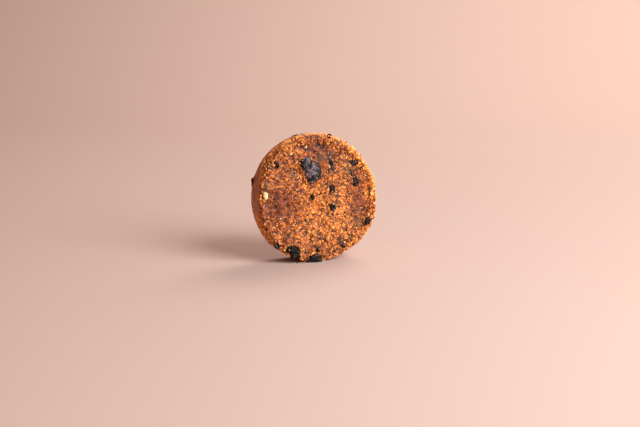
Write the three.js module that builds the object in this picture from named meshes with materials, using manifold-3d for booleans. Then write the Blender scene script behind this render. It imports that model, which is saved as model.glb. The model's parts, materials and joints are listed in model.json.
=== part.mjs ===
// A chocolate chip cookie standing on its edge: a moulded round of golden crumb with a craggy open face,
// a smooth tapering wall and a flat base, and chunks of dark chocolate and a bit of nut set into it.
//
// Millimetres. The cookie is shaped in its own frame: its axis runs along Y, the open face looks toward -Y,
// X is to the right and Z is up as that face is looked at. It is then leant back and set down on z = 0,
// where it is cut level so that it rests on a small flat.

import * as THREE from "three";
import { mergeVertices } from "three/addons/utils/BufferGeometryUtils.js";
import Module from "manifold-3d";

const wasm = await Module();
wasm.setup();

// ---------------------------------------------------------------- driving dimensions

const FACE_RADIUS = 30.1; // of the open face, over its rounded edge
const THICKNESS = 16.5;
const DRAFT = 4; // degrees that the wall draws in toward the base, as the mould does
const LEAN = 5; // degrees that the cookie leans back as it stands on its wall
const STAND_HEIGHT = 29.05; // of the cookie's centre above the surface it stands on
const STAND_X = -0.37; // of its centre, so that the middle of the whole cookie is over the origin
const STAND_Y = 0.36;
const LOBES = [
  // how far the round is out of true, and where each lobe points, in degrees
  { count: 3, size: 0.41, turn: -10 },
  { count: 4, size: 0.19, turn: -22 },
];

const EDGE_ROUND_LEFT = 2; // rounding of the face's edge where it is sharpest
const EDGE_ROUND_RIGHT = 4.2; // and where it is a full soft lip
const LIP_ANGLE = 30; // degrees round from +X to the middle of that lip
const LIP_NARROWING = 1.5; // the higher, the shorter the lip's run round the edge
const BASE_ROUND = 3;

const DISH_DEPTH = 1; // the face sinks this far inside its lip
const DISH_START = 0.93; // of the face's radius, where the sinking begins
const DISH_END = 0.78; // where it ends
const VALLEY_DEPTH = 1.3; // a furrow just inside the soft lip
const VALLEY_RADIUS = 0.8;
const VALLEY_WIDTH = 0.1;

const LUMP_SIZE = 7; // broad swells of the crumb
const LUMP_HEIGHT = 0.7;
const CRAG_SIZE = 3.1; // crags within them
const CRAG_HEIGHT = 0.8;
const CRAG_SPLIT = 1.7; // how many times smaller the crags' own roughness is
const WALL_WAVE = 0.16; // unevenness left on the smooth wall
const BASE_WAVE = 0.22;
const PIT_COUNT = 26; // small holes where crumbs have fallen out of the face
const PIT_WIDTH = 2.6;
const PIT_DEPTH = 0.7;
const PIT_REACH = 0.86; // of the face's radius, where the outermost pits lie
const PIT_SPREAD = [0.7, 1.3]; // the least and the greatest width of a pit, in pit widths
const FACE_FADE = [-0.1, 0.9]; // how far the surface looks to the front where the crags begin and are full
const BASE_FADE = [0.2, 1]; // the same for the base's unevenness, to the back

const FACE_STEP = 1.4; // spacing of the mesh on the face
const WALL_STEP = 2;
const BASE_STEP = 2.5;

const GAP = 0.3; // clear space round each piece set into the crumb

// Pieces set into the crumb. On the face and the base a piece is placed by x and z, as each is seen
// from the front. On the wall it is placed by its angle round from +X, and by y along the axis.
// across, up and deep are its sizes, turn is counterclockwise in degrees, and proud is how far it stands out.
// A piece with no outline of its own gets a broken one of that size.
const MAIN_OUTLINE = [
  [-5.4, 4.7],
  [-3.4, 5.6],
  [-1.3, 6.4],
  [0, 5.7],
  [0.8, 4.2],
  [3, 3.8],
  [4.7, 1.7],
  [5.4, -0.8],
  [4.7, -3.9],
  [2.8, -5.4],
  [0.3, -6.2],
  [-1.5, -5.2],
  [-2.5, -3.2],
  [-2.8, -0.1],
  [-4, 1],
  [-5, 3.1],
];
const UPPER_SLANT_OUTLINE = [
  [-1.8, 3.6],
  [0.1, 2.9],
  [1, 0.6],
  [2.1, -2.4],
  [1, -3.6],
  [-0.7, -2.6],
  [-1.6, 0.3],
];
const UPPER_RIGHT_OUTLINE = [
  [-2.7, 1],
  [-0.4, 1],
  [0.9, 1.8],
  [2.1, 0.7],
  [2, -1],
  [0.6, -1.7],
  [-1.8, -1.1],
];
const RIGHT_SLANT_OUTLINE = [
  [-2.3, 3.8],
  [-0.8, 3.3],
  [1, 1.1],
  [1.8, -1.3],
  [1, -3.3],
  [-1.1, -3.5],
  [-0.9, -1],
  [-2, 1.6],
];
const CENTRE_RIGHT_OUTLINE = [
  [-1.7, 1.7],
  [0.3, 2],
  [1.4, 0.9],
  [1.6, -1.3],
  [0.6, -2],
  [-1, -1.5],
];
const LOWER_RIGHT_OUTLINE = [
  [-1.9, 1.9],
  [0.2, 1.6],
  [1.8, 1.5],
  [1.7, -1.2],
  [0.4, -2.2],
  [-1, -1.3],
];
const LOW_LEFT_OUTLINE = [
  [-3.7, 2.6],
  [0, 3.2],
  [2.8, 2.1],
  [3.2, 0],
  [3.2, -3],
  [-0.2, -2.9],
  [-1.5, -0.2],
  [-3.5, 0.5],
];

const CHUNKS = [
  { name: "main", side: "face", x: -3.8, z: 13.3, outline: MAIN_OUTLINE, deep: 6, proud: 0.5 },
  { name: "upper_slant", side: "face", x: 7.1, z: 15.3, outline: UPPER_SLANT_OUTLINE, deep: 4, proud: 0.2 },
  { name: "upper_right", side: "face", x: 18.5, z: 15.5, outline: UPPER_RIGHT_OUTLINE, deep: 3.6, proud: 0.3 },
  { name: "right_slant", side: "face", x: 18.7, z: 7.6, outline: RIGHT_SLANT_OUTLINE, deep: 4, proud: 0.3 },
  { name: "centre_right", side: "face", x: 6.7, z: 3.9, outline: CENTRE_RIGHT_OUTLINE, deep: 3.6, proud: 0.3 },
  { name: "lower_right", side: "face", x: 6.5, z: -4.8, outline: LOWER_RIGHT_OUTLINE, deep: 3.8, proud: 0.3 },
  { name: "centre_slit", side: "face", x: -2.9, z: 0.6, across: 1.8, up: 3.4, deep: 2.6, turn: 8, proud: 0.1 },
  { name: "left_fleck", side: "face", x: -20.3, z: 16.8, across: 2.2, up: 3.2, deep: 2.6, turn: 25, proud: 0.2 },
  { name: "right_lip", side: "face", x: 23.9, z: -12.4, across: 2.2, up: 5.2, deep: 4, turn: -16, proud: 0.3 },
  { name: "low_right", side: "face", x: 10.9, z: -22.7, across: 3.6, up: 2.2, deep: 3, turn: -36, proud: 0.2 },
  { name: "low_middle", side: "face", x: -1.1, z: -23.9, across: 3.2, up: 2.2, deep: 3, turn: 40, proud: 0.2 },
  { name: "low_left", side: "face", x: -13.5, z: -24.3, outline: LOW_LEFT_OUTLINE, deep: 5, proud: 0.6 },
  { name: "foot", side: "wall", angle: -96.5, y: -7.5, across: 8.4, up: 4.6, deep: 4, turn: 3, proud: 0.3 },
  { name: "left_foot", side: "wall", angle: -135.5, y: -6.2, across: 1.9, up: 4.8, deep: 3, turn: 44, proud: 0.2 },
  { name: "crown", side: "wall", angle: 77, y: -6.4, across: 3.2, up: 2.2, deep: 2.6, turn: 0, proud: 0.5 },
  { name: "left_wall", side: "wall", angle: 163, y: 4.4, across: 3.4, up: 4.8, deep: 3.6, turn: 10, proud: 0.7 },
  { name: "top_wall", side: "wall", angle: 104, y: 2.6, across: 4.6, up: 3.4, deep: 3.4, turn: 15, proud: 0.3 },
  { name: "right_wall", side: "wall", angle: 14, y: 0.8, across: 4.2, up: 5.8, deep: 3.8, turn: -20, proud: 0.3 },
  { name: "low_wall", side: "wall", angle: -38, y: 3, across: 5.6, up: 3.8, deep: 3.8, turn: 30, proud: 0.3 },
  { name: "base_large", side: "base", x: -7.2, z: 6.4, across: 8.2, up: 6.8, deep: 5, turn: 30, proud: 0.2 },
  { name: "base_high", side: "base", x: 8.6, z: 15.8, across: 5.2, up: 3.6, deep: 3.6, turn: -25, proud: 0.2 },
  { name: "base_right", side: "base", x: 16.4, z: -3.6, across: 3.6, up: 5.6, deep: 3.6, turn: 15, proud: 0.2 },
  { name: "base_low", side: "base", x: 2.2, z: -13.2, across: 5.8, up: 4.4, deep: 3.8, turn: -12, proud: 0.2 },
  { name: "base_left", side: "base", x: -17.6, z: -9.4, across: 3.8, up: 4.8, deep: 3.4, turn: 40, proud: 0.2 },
  { name: "base_small", side: "base", x: 3.6, z: 2.4, across: 2.8, up: 3.2, deep: 2.8, turn: 0, proud: 0.1 },
];

const NUTS = [
  { name: "nut_left", side: "face", x: -26.2, z: 2.6, across: 2, up: 4.4, deep: 3, turn: 6, proud: 0.5 },
  { name: "nut_base", side: "base", x: -2.6, z: 19.4, across: 3.8, up: 2.6, deep: 2.8, turn: 18, proud: 0.2 },
];

const BEVEL = 0.7; // of a piece's edges
const BEVEL_MOST = 0.24; // of its smaller size, so that small pieces keep their flats
const SMALL_PIECE = 2.5; // a smaller piece has fewer corners
const SMALL_CORNERS = 6;
const LARGE_CORNERS = 8;
const CORNER_SHIFT = 0.5; // how far a corner may move on toward the next one
const CORNER_REACH = [0.84, 1.1]; // the least and the greatest reach of a corner, in half sizes

const FINISH = {
  crumb: { color: 0xb4682c, roughness: 0.78, metalness: 0 },
  chocolate: { color: 0x2a1c19, roughness: 0.38, metalness: 0 },
  nut: { color: 0xe3ba80, roughness: 0.6, metalness: 0 },
};

// ---------------------------------------------------------------- small tools

const radians = THREE.MathUtils.degToRad;
const { lerp, smoothstep } = THREE.MathUtils;
const TURN = 2 * Math.PI;

// A fixed number from 0 to 1 for each whole-numbered place.
function scatter(i, j = 0, k = 0) {
  let h = Math.imul(i, 374761393) + Math.imul(j, 668265263) + Math.imul(k, 974634777);
  h = Math.imul(h ^ (h >>> 13), 1274126177);
  return ((h ^ (h >>> 16)) >>> 0) / 4294967295;
}

// Smooth noise from -1 to 1 with swells about one cell wide.
function swell(point, cell) {
  const at = point.toArray().map((v) => v / cell);
  const base = at.map(Math.floor);
  const [u, v, w] = at.map((value, axis) => smoothstep(value - base[axis], 0, 1));
  let sum = 0;
  for (const i of [0, 1]) {
    for (const j of [0, 1]) {
      for (const k of [0, 1]) {
        const weight = (i ? u : 1 - u) * (j ? v : 1 - v) * (k ? w : 1 - w);
        sum += weight * scatter(base[0] + i, base[1] + j, base[2] + k);
      }
    }
  }
  return 2 * sum - 1;
}

// ---------------------------------------------------------------- the cookie's profile

function outerRadius(angle) {
  return LOBES.reduce(
    (radius, lobe) => radius + lobe.size * Math.cos(lobe.count * (angle - radians(lobe.turn))),
    FACE_RADIUS,
  );
}

// 1 in the middle of the soft lip and 0 on the far side of the face.
function lipShare(angle) {
  return (0.5 + 0.5 * Math.cos(angle - radians(LIP_ANGLE))) ** LIP_NARROWING;
}

function edgeRound(angle) {
  return EDGE_ROUND_LEFT + (EDGE_ROUND_RIGHT - EDGE_ROUND_LEFT) * lipShare(angle);
}

// The profile in one direction: flat face, rounded edge, drawn-in wall, rounded base edge, flat base.
// Each stretch gives its length and a function of the distance along it, which returns the radius, the
// place along the axis and the outward normal as its angle from -Y.
function profile(angle) {
  const draft = radians(DRAFT);
  const square = Math.PI / 2 + draft;
  const front = -THICKNESS / 2;
  const back = THICKNESS / 2;
  const r = edgeRound(angle);
  const faceLength = outerRadius(angle) - r;
  const wallLine = faceLength * Math.cos(draft) + (front + r) * Math.sin(draft) + r;
  const baseLength =
    (wallLine - BASE_ROUND - (back - BASE_ROUND) * Math.sin(draft)) / Math.cos(draft);
  const wallStart = [faceLength + r * Math.cos(draft), front + r + r * Math.sin(draft)];
  const wallEnd = [
    baseLength + BASE_ROUND * Math.cos(draft),
    back - BASE_ROUND + BASE_ROUND * Math.sin(draft),
  ];
  const wallLength = Math.hypot(wallEnd[0] - wallStart[0], wallEnd[1] - wallStart[1]);
  return {
    face: {
      length: faceLength,
      at: (s) => ({ radius: s, depth: front, tilt: 0 }),
    },
    edge: {
      length: r * square,
      at: (s) => ({
        radius: faceLength + r * Math.sin(s / r),
        depth: front + r - r * Math.cos(s / r),
        tilt: s / r,
      }),
    },
    wall: {
      length: wallLength,
      at: (s) => ({
        radius: wallStart[0] - s * Math.sin(draft),
        depth: wallStart[1] + s * Math.cos(draft),
        tilt: square,
      }),
    },
    heel: {
      length: BASE_ROUND * (Math.PI - square),
      at: (s) => ({
        radius: baseLength + BASE_ROUND * Math.sin(square + s / BASE_ROUND),
        depth: back - BASE_ROUND - BASE_ROUND * Math.cos(square + s / BASE_ROUND),
        tilt: square + s / BASE_ROUND,
      }),
    },
    base: {
      length: baseLength,
      at: (s) => ({ radius: baseLength - s, depth: back, tilt: Math.PI }),
    },
  };
}

function pointAndNormal(angle, spot) {
  const outward = new THREE.Vector3(Math.cos(angle), 0, Math.sin(angle));
  const point = outward.clone().multiplyScalar(spot.radius);
  point.y = spot.depth;
  const normal = outward.multiplyScalar(Math.sin(spot.tilt));
  normal.y = -Math.cos(spot.tilt);
  return { point, normal };
}

// ---------------------------------------------------------------- relief of the crumb

const PITS = Array.from({ length: PIT_COUNT }, (_, i) => {
  const angle = TURN * scatter(i, 11);
  const radius = PIT_REACH * FACE_RADIUS * Math.sqrt(scatter(i, 12));
  return {
    x: radius * Math.cos(angle),
    z: radius * Math.sin(angle),
    width: PIT_WIDTH * lerp(...PIT_SPREAD, scatter(i, 13)),
  };
});

function faceRelief(angle, point) {
  const share = Math.hypot(point.x, point.z) / outerRadius(angle);
  const dish = 1 - smoothstep(share, DISH_END, DISH_START);
  const furrow = Math.exp(-(((share - VALLEY_RADIUS) / VALLEY_WIDTH) ** 2)) * lipShare(angle);
  const pits = PITS.map((pit) => {
    const away = Math.hypot(point.x - pit.x, point.z - pit.z) / (pit.width / 2);
    return Math.exp(-(away ** 2));
  });
  const crag = 1 - 2 * Math.abs(swell(point, CRAG_SIZE));
  return (
    LUMP_HEIGHT * swell(point, LUMP_SIZE) +
    CRAG_HEIGHT * (0.5 * crag + 0.5 * swell(point, CRAG_SIZE / CRAG_SPLIT)) -
    DISH_DEPTH * dish -
    VALLEY_DEPTH * furrow -
    PIT_DEPTH * Math.max(...pits)
  );
}

// Height of the relief out of the plain profile, with the face's crags fading out over its edge.
function relief(angle, { point, normal }) {
  const faceShare = smoothstep(-normal.y, ...FACE_FADE);
  const baseShare = smoothstep(normal.y, ...BASE_FADE);
  const wallShare = 1 - faceShare - baseShare;
  return (
    faceShare * faceRelief(angle, point) +
    wallShare * WALL_WAVE * swell(point, LUMP_SIZE) +
    baseShare * BASE_WAVE * swell(point, CRAG_SIZE)
  );
}

// ---------------------------------------------------------------- the crumb's closed surface

// One ring round the cookie at a share of a stretch of the profile.
function ringAt(stretch, share, step) {
  const middle = profile(0)[stretch];
  const radius = middle.at(share * middle.length).radius;
  const count = radius < step / 2 ? 1 : Math.max(6, Math.round((TURN * radius) / step));
  return Array.from({ length: count }, (_, i) => {
    const angle = (TURN * i) / count;
    const line = profile(angle)[stretch];
    const place = pointAndNormal(angle, line.at(share * line.length));
    return place.point.addScaledVector(place.normal, relief(angle, place));
  });
}

function ringsOf(stretch, step) {
  const rows = Math.ceil(profile(0)[stretch].length / step);
  return Array.from({ length: rows }, (_, row) => ringAt(stretch, (row + 1) / rows, step));
}

// Triangles between two rings whose points both start at +X and go the same way round.
function zip(inner, outer, add) {
  const last = [inner, outer].map((ring) => (ring.length === 1 ? 0 : ring.length));
  let i = 0;
  let j = 0;
  while (i < last[0] || j < last[1]) {
    const from = inner[i % inner.length];
    const to = outer[j % outer.length];
    const outerNext = j < last[1] && (i >= last[0] || (j + 1) / last[1] <= (i + 1) / last[0]);
    if (outerNext) {
      j += 1;
      add(from, to, outer[j % outer.length]);
    } else {
      i += 1;
      add(from, to, inner[i % inner.length]);
    }
  }
}

function crumbGeometry() {
  const rings = [
    ringAt("face", 0, FACE_STEP),
    ...ringsOf("face", FACE_STEP),
    ...ringsOf("edge", FACE_STEP),
    ...ringsOf("wall", WALL_STEP),
    ...ringsOf("heel", WALL_STEP),
    ...ringsOf("base", BASE_STEP),
  ];
  const corners = [];
  for (let row = 1; row < rings.length; row += 1) {
    zip(rings[row - 1], rings[row], (...triangle) => corners.push(...triangle));
  }
  return new THREE.BufferGeometry().setFromPoints(corners);
}

// ---------------------------------------------------------------- chunks and nuts

function blockOutline({ outline, across, up, name }) {
  if (outline) {
    return outline.map(([x, y]) => new THREE.Vector2(x, y));
  }
  const corners = Math.min(across, up) < SMALL_PIECE ? SMALL_CORNERS : LARGE_CORNERS;
  const seed = across * 10 + up * 100 + name.length;
  return Array.from({ length: corners }, (_, i) => {
    const angle = (TURN * (i + CORNER_SHIFT * scatter(i, seed, 1))) / corners;
    const reach = lerp(...CORNER_REACH, scatter(i, seed, 2));
    return new THREE.Vector2(
      (across / 2) * reach * Math.cos(angle),
      (up / 2) * reach * Math.sin(angle),
    );
  });
}

// A block with bevelled edges, with grow added on every side. Its outer face looks along +Z.
function blockGeometry(piece, grow) {
  const outline = blockOutline(piece);
  const size = new THREE.Box2().setFromPoints(outline).getSize(new THREE.Vector2());
  const bevel = Math.min(BEVEL, BEVEL_MOST * Math.min(size.x, size.y));
  const geometry = new THREE.ExtrudeGeometry(new THREE.Shape(outline), {
    depth: piece.deep - 2 * bevel + 2 * grow,
    bevelThickness: bevel,
    bevelSize: bevel,
    bevelOffset: grow - bevel,
    bevelSegments: 1,
  });
  return geometry.translate(0, 0, piece.proud - piece.deep + bevel - grow);
}

// Where a piece lies: its middle on the cookie's surface, facing out, with its own up kept upright.
function placeOf(piece) {
  const angle = piece.side === "wall" ? radians(piece.angle) : Math.atan2(piece.z, piece.x);
  const lines = profile(angle);
  const spots = {
    face: () => faceSpot(lines, Math.hypot(piece.x, piece.z)),
    wall: () => wallSpot(lines, piece.y),
    base: () => lines.base.at(lines.base.length - Math.hypot(piece.x, piece.z)),
  };
  const place = pointAndNormal(angle, spots[piece.side]());
  place.point.addScaledVector(place.normal, relief(angle, place));
  const facing = new THREE.Quaternion().setFromUnitVectors(new THREE.Vector3(0, -1, 0), place.normal);
  if (piece.side === "base") {
    facing.setFromAxisAngle(new THREE.Vector3(0, 0, 1), Math.PI);
  }
  const upright = new THREE.Quaternion().setFromAxisAngle(new THREE.Vector3(1, 0, 0), Math.PI / 2);
  const turn = new THREE.Quaternion().setFromAxisAngle(
    new THREE.Vector3(0, 0, 1),
    radians(piece.turn ?? 0),
  );
  const rotation = facing.multiply(upright).multiply(turn);
  return new THREE.Matrix4().compose(place.point, rotation, new THREE.Vector3(1, 1, 1));
}

// The spot at a given distance from the face's middle, on the face or over its edge.
function faceSpot(lines, reach) {
  const over = reach - lines.face.length;
  return over <= 0 ? lines.face.at(reach) : lines.edge.at(over);
}

// The spot at a given place along the axis, on the edge or the wall.
function wallSpot(lines, y) {
  const wallStart = lines.wall.at(0).depth;
  if (y >= wallStart) {
    return lines.wall.at((y - wallStart) / Math.cos(radians(DRAFT)));
  }
  const r = lines.edge.length / (Math.PI / 2 + radians(DRAFT));
  const centre = -THICKNESS / 2 + r;
  return lines.edge.at(r * Math.acos((centre - y) / r));
}

// ---------------------------------------------------------------- solids

function solid(geometry) {
  const bare = geometry.clone();
  bare.deleteAttribute("normal");
  bare.deleteAttribute("uv");
  const merged = mergeVertices(bare, 1e-4);
  return new wasm.Manifold(
    new wasm.Mesh({
      numProp: 3,
      vertProperties: merged.attributes.position.array,
      triVerts: new Uint32Array(merged.index.array),
    }),
  );
}

function meshOf(name, body, finish) {
  const { vertProperties, triVerts } = body.getMesh();
  const geometry = new THREE.BufferGeometry();
  geometry.setAttribute("position", new THREE.BufferAttribute(vertProperties, 3));
  geometry.setIndex(new THREE.BufferAttribute(triVerts, 1));
  geometry.computeVertexNormals();
  const mesh = new THREE.Mesh(geometry, new THREE.MeshStandardMaterial(finish));
  mesh.name = name;
  return mesh;
}

// Leans the cookie back and sets it down.
const STAND = new THREE.Matrix4()
  .makeTranslation(STAND_X, STAND_Y, STAND_HEIGHT)
  .multiply(new THREE.Matrix4().makeRotationX(-radians(LEAN)));

// A standing geometry as a solid, cut off level where the cookie rests.
function standing(geometry) {
  const size = 4 * FACE_RADIUS;
  const under = new THREE.BoxGeometry(size, size, size).translate(0, 0, -size / 2);
  return solid(geometry.applyMatrix4(STAND)).subtract(solid(under));
}

const cookie = new THREE.Group();
let crumb = standing(crumbGeometry());
const inlays = [
  ...CHUNKS.map((piece) => ({ ...piece, name: `chunk_${piece.name}`, finish: FINISH.chocolate })),
  ...NUTS.map((piece) => ({ ...piece, finish: FINISH.nut })),
];
for (const piece of inlays) {
  const place = placeOf(piece);
  const block = standing(blockGeometry(piece, 0).applyMatrix4(place));
  crumb = crumb.subtract(standing(blockGeometry(piece, GAP).applyMatrix4(place)));
  cookie.add(meshOf(piece.name, block, piece.finish));
}
cookie.add(meshOf("crumb", crumb, FINISH.crumb));

export default cookie;
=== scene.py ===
"""The looks of a chocolate chip cookie that stands on its edge: baked crumb with a grainy open face,
chunks of dark chocolate, bits of nut, loose grains of crumb and sugar, and a pale studio to show it in."""

import json
import math

import bpy
import numpy as np
from bpy.props import FloatProperty, FloatVectorProperty, IntProperty, PointerProperty
from mathutils import Matrix, Vector
from mathutils.kdtree import KDTree

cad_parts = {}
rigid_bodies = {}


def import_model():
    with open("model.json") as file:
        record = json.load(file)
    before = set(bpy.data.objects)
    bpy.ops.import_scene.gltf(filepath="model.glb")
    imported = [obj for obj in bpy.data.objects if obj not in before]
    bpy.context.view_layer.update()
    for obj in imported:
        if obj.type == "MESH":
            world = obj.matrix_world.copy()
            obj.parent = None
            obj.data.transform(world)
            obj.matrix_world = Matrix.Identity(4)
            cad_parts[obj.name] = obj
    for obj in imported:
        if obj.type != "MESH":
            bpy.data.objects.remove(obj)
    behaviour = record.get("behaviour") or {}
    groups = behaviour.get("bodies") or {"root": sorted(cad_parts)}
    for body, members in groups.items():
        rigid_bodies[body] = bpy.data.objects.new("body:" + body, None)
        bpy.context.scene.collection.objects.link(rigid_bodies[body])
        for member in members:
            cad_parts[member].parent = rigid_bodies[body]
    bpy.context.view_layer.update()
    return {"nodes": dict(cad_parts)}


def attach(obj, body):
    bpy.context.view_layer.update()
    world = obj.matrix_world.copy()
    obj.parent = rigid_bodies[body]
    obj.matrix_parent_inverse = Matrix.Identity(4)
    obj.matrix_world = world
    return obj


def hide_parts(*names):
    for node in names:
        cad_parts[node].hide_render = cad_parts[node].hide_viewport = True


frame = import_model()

bl_info = {
    "name": "Chocolate chip cookie",
    "version": (1, 0, 0),
    "blender": (4, 5, 0),
    "location": "View3D > Sidebar > Cookie",
    "description": "Bakes a chocolate chip cookie round its frame, with its chunks, grains and stage",
    "category": "Object",
}

# ---------------------------------------------------------------- the cookie's own frame

MM = 0.001
BODY = "root"
FACE_RADIUS = 30.1 * MM
THICKNESS = 16.5 * MM
LEAN = math.radians(5)
CENTRE = Vector((-0.37, 0.36, 29.05)) * MM  # of the cookie, above the surface it stands on

# The cookie's own frame has its axis along Y, with the open face toward -Y, and Z up the face.
TO_WORLD = Matrix.Translation(CENTRE) @ Matrix.Rotation(-LEAN, 4, "X")
TO_COOKIE = TO_WORLD.inverted()


def srgb(red, green, blue):
    """A colour of 0 to 255 a channel, as a screen shows it, in Blender's linear values."""
    linear = [((v / 255 + 0.055) / 1.055) ** 2.4 if v > 10 else v / 255 / 12.92 for v in (red, green, blue)]
    return (*linear, 1.0)


# ---------------------------------------------------------------- settings


def size(name, description, default):
    """A length that can be changed, with its default given in millimetres."""
    return FloatProperty(
        name=name, description=description, default=default * MM, unit="LENGTH", precision=5
    )


def colour(name, description, default):
    """A colour that can be changed."""
    return FloatVectorProperty(
        name=name, description=description, default=default, subtype="COLOR", size=4, min=0, max=1
    )


class CookieCrumbSettings(bpy.types.PropertyGroup):
    """Sizes and colours of the baked crumb"""

    fineness: size("Fineness", "Spacing of the crumb's mesh, halved on the open face", 0.6)
    clump_size: size("Clump size", "Width of the clumps on the open face", 2.0)
    clump_height: size("Clump height", "Height of the clumps", 1.0)
    granule_size: size("Granule size", "Width of the granules baked into the face", 1.5)
    granule_height: size("Granule height", "Height of the granules", 1.05)
    wall_grain: size("Wall grain", "Height of the fine grain on the smooth wall", 0.16)
    # the crevice and tops colours follow the relief's height: the crevices darker as painted shade, the
    # tops paler as painted light
    dark: colour("Crevice", "Crumb in the crevices", srgb(40, 16, 11))
    middle: colour("Crumb", "Crumb between crevices and tops", srgb(182, 98, 32))
    light: colour("Tops", "Tops of the crumb", srgb(234, 158, 70))
    wall: colour("Wall", "The smooth side wall and base", srgb(192, 115, 62))
    wall_dark: colour("Wall patches", "Browner patches of the wall", srgb(136, 69, 39))


class CookieChocolateSettings(bpy.types.PropertyGroup):
    """Sizes and colours of the chopped chocolate"""

    fineness: size("Fineness", "Spacing of the chunks' mesh", 0.22)
    facet_size: size("Facet size", "Width of the chopped facets", 1.8)
    facet_depth: size("Facet depth", "Depth of the chopped facets", 0.9)
    dark: colour("Chocolate", "Dark chocolate", srgb(13, 6, 6))
    # the bloom colour is partly real bloom and partly painted sheen
    bloom_and_sheen: colour("Bloom", "Thin pale bloom on the chocolate", srgb(150, 139, 152))


class CookieGrainSettings(bpy.types.PropertyGroup):
    """Sizes and colours of the loose grains, and of the nuts"""

    crumb_size: size("Crumb grain", "Width of the loose crumb grains", 1.65)
    crumb_spacing: size("Crumb spacing", "Least distance between crumb grains", 0.88)
    sugar_size: size("Sugar grain", "Width of the sugar crystals", 0.85)
    sugar_spacing: size("Sugar spacing", "Least distance between sugar crystals", 1.9)
    seed: IntProperty(name="Seed", description="Which scatter of the grains is made", default=7)
    amber: colour("Amber", "Darker sugar", srgb(220, 130, 40))
    dark: colour("Dark grain", "Most baked crumb grains", srgb(134, 62, 24))
    light: colour("Light grain", "Least baked crumb grains", srgb(245, 162, 74))
    sugar: colour("Sugar", "Melted amber sugar", srgb(250, 196, 104))
    nut: colour("Toasted nut", "Browner parts of the nuts", srgb(222, 160, 96))
    pale: colour("Pale bits", "Cream bits of nut", srgb(250, 220, 170))


class CookieStageSettings(bpy.types.PropertyGroup):
    """Where the camera stands, and the floor's colour"""

    floor: colour("Floor", "Plain pale floor", srgb(186, 161, 151))
    camera_turn: FloatProperty(
        name="Camera turn", description="How far to the face's left the camera stands",
        default=math.radians(21), subtype="ANGLE",
    )
    camera_height: FloatProperty(
        name="Camera height", description="How far the camera looks down",
        default=math.radians(11), subtype="ANGLE",
    )


# ---------------------------------------------------------------- tools

GROUP_STEPS = 20


def need(found, what):
    """Stops the script where a step has nothing to work on."""
    if not found:
        raise RuntimeError(f"no {what}")
    return found


def select_only(*pieces):
    """Selects these pieces and nothing else, and makes the first one active."""
    bpy.ops.object.select_all(action="DESELECT")
    for piece in pieces:
        piece.select_set(True)
    bpy.context.view_layer.objects.active = pieces[0]


def copy_of_node(node, name):
    """A new piece from a copy of a frame node's mesh, its loose triangles merged."""
    source = frame["nodes"][node]
    piece = bpy.data.objects.new(name, source.data.copy())
    piece.data.name = name
    piece.data.materials.clear()
    bpy.context.scene.collection.objects.link(piece)
    select_only(piece)
    bpy.ops.object.mode_set(mode="EDIT")
    bpy.ops.mesh.select_all(action="SELECT")
    bpy.ops.mesh.remove_doubles(threshold=0.001 * MM)
    bpy.ops.object.mode_set(mode="OBJECT")
    return piece


def copy_of(piece, name):
    """A copy of a piece with a mesh of its own."""
    twin = piece.copy()
    twin.data = piece.data.copy()
    twin.name = twin.data.name = name
    bpy.context.scene.collection.objects.link(twin)
    return twin


def apply_modifier(piece, kind, **settings):
    """Changes a piece by one modifier with the given settings."""
    modifier = piece.modifiers.new("finish", kind)
    for key, value in settings.items():
        setattr(modifier, key, value)
    select_only(piece)
    bpy.ops.object.modifier_apply(modifier=modifier.name)


def apply_relief(piece, kind, grain, height, middle=0.5, group="", **look):
    """Raises and lowers a piece's surface by a solid texture with swells of the given grain."""
    texture = bpy.data.textures.new("relief", kind)
    texture.noise_scale = grain
    for key, value in look.items():
        setattr(texture, key, value)
    apply_modifier(
        piece, "DISPLACE", texture=texture, texture_coords="LOCAL",
        strength=height, mid_level=middle, vertex_group=group,
    )


def points_of(piece):
    """The places of a piece's vertices, a row each."""
    points = np.empty(len(piece.data.vertices) * 3)
    piece.data.vertices.foreach_get("co", points)
    return points.reshape(-1, 3)


def normals_of(piece):
    """The ways in which a piece's vertices look, a row each."""
    normals = np.empty(len(piece.data.vertices) * 3, dtype=np.float32)
    piece.data.vertex_normals.foreach_get("vector", normals)
    return normals.reshape(-1, 3)


def in_cookie_frame(points):
    """Rows of places in the cookie's own frame."""
    turn = np.array(TO_COOKIE.to_3x3())
    return points @ turn.T + np.array(TO_COOKIE.translation)


def smooth_share(value, low, high):
    """0 below the low value and 1 above the high one, with a soft rise between them."""
    t = np.clip((value - low) / (high - low), 0, 1)
    return t * t * (3 - 2 * t)


def write_group(piece, name, shares):
    """A vertex group that holds a share for each vertex, in even steps."""
    group = piece.vertex_groups.new(name=name)
    steps = np.rint(np.asarray(shares) * GROUP_STEPS).astype(int)
    for step in range(1, GROUP_STEPS + 1):
        members = np.flatnonzero(steps == step).tolist()
        if members:
            group.add(members, step / GROUP_STEPS, "REPLACE")


def write_attribute(piece, name, values):
    """An attribute that holds a value for each vertex, for the materials and the scatter to read."""
    attribute = piece.data.attributes.new(name, "FLOAT", "POINT")
    attribute.data.foreach_set("value", np.asarray(values, dtype=np.float32))


def finish_piece(piece, slot, *nodes):
    """Fixes a piece to the cookie, and hides the frame nodes whose place it takes. Its slot is not used."""
    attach(piece, BODY)
    if nodes:
        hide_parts(*nodes)


# ---------------------------------------------------------------- where the granular crust lies

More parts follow.
